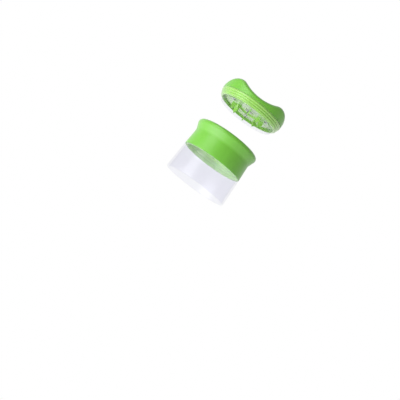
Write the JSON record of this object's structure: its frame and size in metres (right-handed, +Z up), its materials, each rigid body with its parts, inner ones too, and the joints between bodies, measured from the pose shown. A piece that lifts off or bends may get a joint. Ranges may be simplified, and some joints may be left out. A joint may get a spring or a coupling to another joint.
{
  "type": "hand-held spiralizer",
  "caption": "Hand-held twist spiralizer: a waisted soft collar with a clear skirt and a blade deck inside, and a separate saddle-topped food holder that lifts and turns.",
  "frame": {"origin": "centre of the circle on which the clear skirt's foot rests", "axes": "+Z up along the tool's axis from the skirt to the food holder; +X along the blade's cutting edge and from lobe to lobe of the handle"},
  "size_m": [0.0902, 0.0902, 0.1397],
  "materials": {
    "clear_plastic": "clear polished moulding",
    "green_soft_grip": "satin soft overmould",
    "light_green_plastic": "semi-gloss moulding",
    "rim_green_plastic": "gloss moulding",
    "blade_steel": "ground stainless steel",
    "screw_steel": "bright stainless steel"
  },
  "bodies": {
    "collar": {"clear_skirt": "clear_plastic", "collar_grip": "green_soft_grip", "collar_core": "light_green_plastic", "feed_funnel": "light_green_plastic", "blade_deck": "light_green_plastic", "slicing_blade": "blade_steel", "julienne_comb": "blade_steel", "coring_tube": "blade_steel", "blade_screws": "screw_steel", "deck_screws": "screw_steel"},
    "cup": {"holder_cup": "clear_plastic"},
    "holder": {"ribbed_rim": "rim_green_plastic", "holder_plate": "rim_green_plastic", "teeth_plate": "rim_green_plastic", "centre_spike": "blade_steel", "holder_screws": "screw_steel", "handle_core": "light_green_plastic", "handle_grip": "green_soft_grip"}
  },
  "joints": [
    {"name": "holder_lift", "type": "slide", "parent": "collar", "child": "cup", "axis": [0, 0, 1], "range_m": [-0.0401, 0.1]},
    {"name": "holder_spin", "type": "hinge", "parent": "cup", "child": "holder", "pos_m": [0, 0, 0.1146], "axis": [0, 0, 1], "continuous": true}
  ]
}
